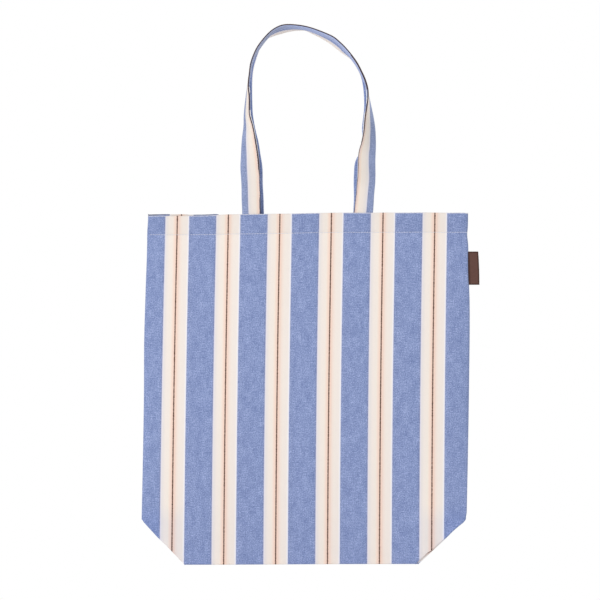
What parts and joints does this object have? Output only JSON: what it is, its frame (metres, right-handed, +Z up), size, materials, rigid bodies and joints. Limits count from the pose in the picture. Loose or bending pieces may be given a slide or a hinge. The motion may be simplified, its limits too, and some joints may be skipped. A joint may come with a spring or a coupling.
{
  "type": "canvas tote bag",
  "caption": "Striped canvas tote bag with a fold-flat base, hemmed mouth, strap handles and a bare woven side label, hanging by its handles.",
  "frame": {"origin": "where a hook or a hand takes both straps, just under the top of the handle loops", "axes": "+Z up, from the base to the handles; the front panel faces -Y; +X is to the right seen from the front, towards the label"},
  "size_m": [0.4066, 0.0478, 0.649],
  "materials": {
    "striped_canvas": "plain-woven cotton canvas, blue chambray bands between cream bands with a fine peach and brown stripe",
    "strap_canvas": "the same striped canvas folded into a flat strap, cream and brown-edged outside, blue inside",
    "seam_allowance": "raw canvas seam allowances bound with overlock thread",
    "sewing_thread": "twisted polyester sewing thread, off white",
    "woven_label": "bare satin-woven brown ribbon with a darker border"
  },
  "bodies": {
    "bag": {"back_panel": "striped_canvas", "base_front_half": "striped_canvas", "base_rear_half": "striped_canvas", "left_corner_folds": "striped_canvas", "right_corner_folds": "striped_canvas", "bottom_seam": "seam_allowance", "left_side_seam": "striped_canvas", "right_side_seam": "striped_canvas", "left_corner_seam": "seam_allowance", "right_corner_seam": "seam_allowance", "rear_hem": "striped_canvas", "rear_hem_stitches": "sewing_thread", "rear_left_strap_end": "strap_canvas", "rear_right_strap_end": "strap_canvas", "rear_handle_tacks": "sewing_thread"},
    "front": {"front_panel": "striped_canvas", "front_hem": "striped_canvas", "front_hem_stitches": "sewing_thread", "front_left_strap_end": "strap_canvas", "front_right_strap_end": "strap_canvas", "front_handle_tacks": "sewing_thread"},
    "front_handle": {"front_handle": "strap_canvas", "front_handle_stitches": "sewing_thread"},
    "rear_handle": {"rear_handle": "strap_canvas", "rear_handle_stitches": "sewing_thread"},
    "label": {"side_label": "woven_label"}
  },
  "joints": [
    {"name": "mouth_open", "type": "hinge", "parent": "bag", "child": "front", "pos_m": [0, -0.0045, -0.637], "axis": [1, 0, 0], "range_deg": [0, 9]},
    {"name": "front_handle_fold", "type": "hinge", "parent": "front", "child": "front_handle", "pos_m": [0, -0.0092, -0.216], "axis": [1, 0, 0], "range_deg": [0, 170]},
    {"name": "rear_handle_fold", "type": "hinge", "parent": "bag", "child": "rear_handle", "pos_m": [0, 0.0092, -0.216], "axis": [-1, 0, 0], "range_deg": [0, 170]},
    {"name": "label_flap", "type": "hinge", "parent": "bag", "child": "label", "pos_m": [0.19747, 0, -0.282], "axis": [0, 0, 1], "range_deg": [-75, 75]}
  ]
}
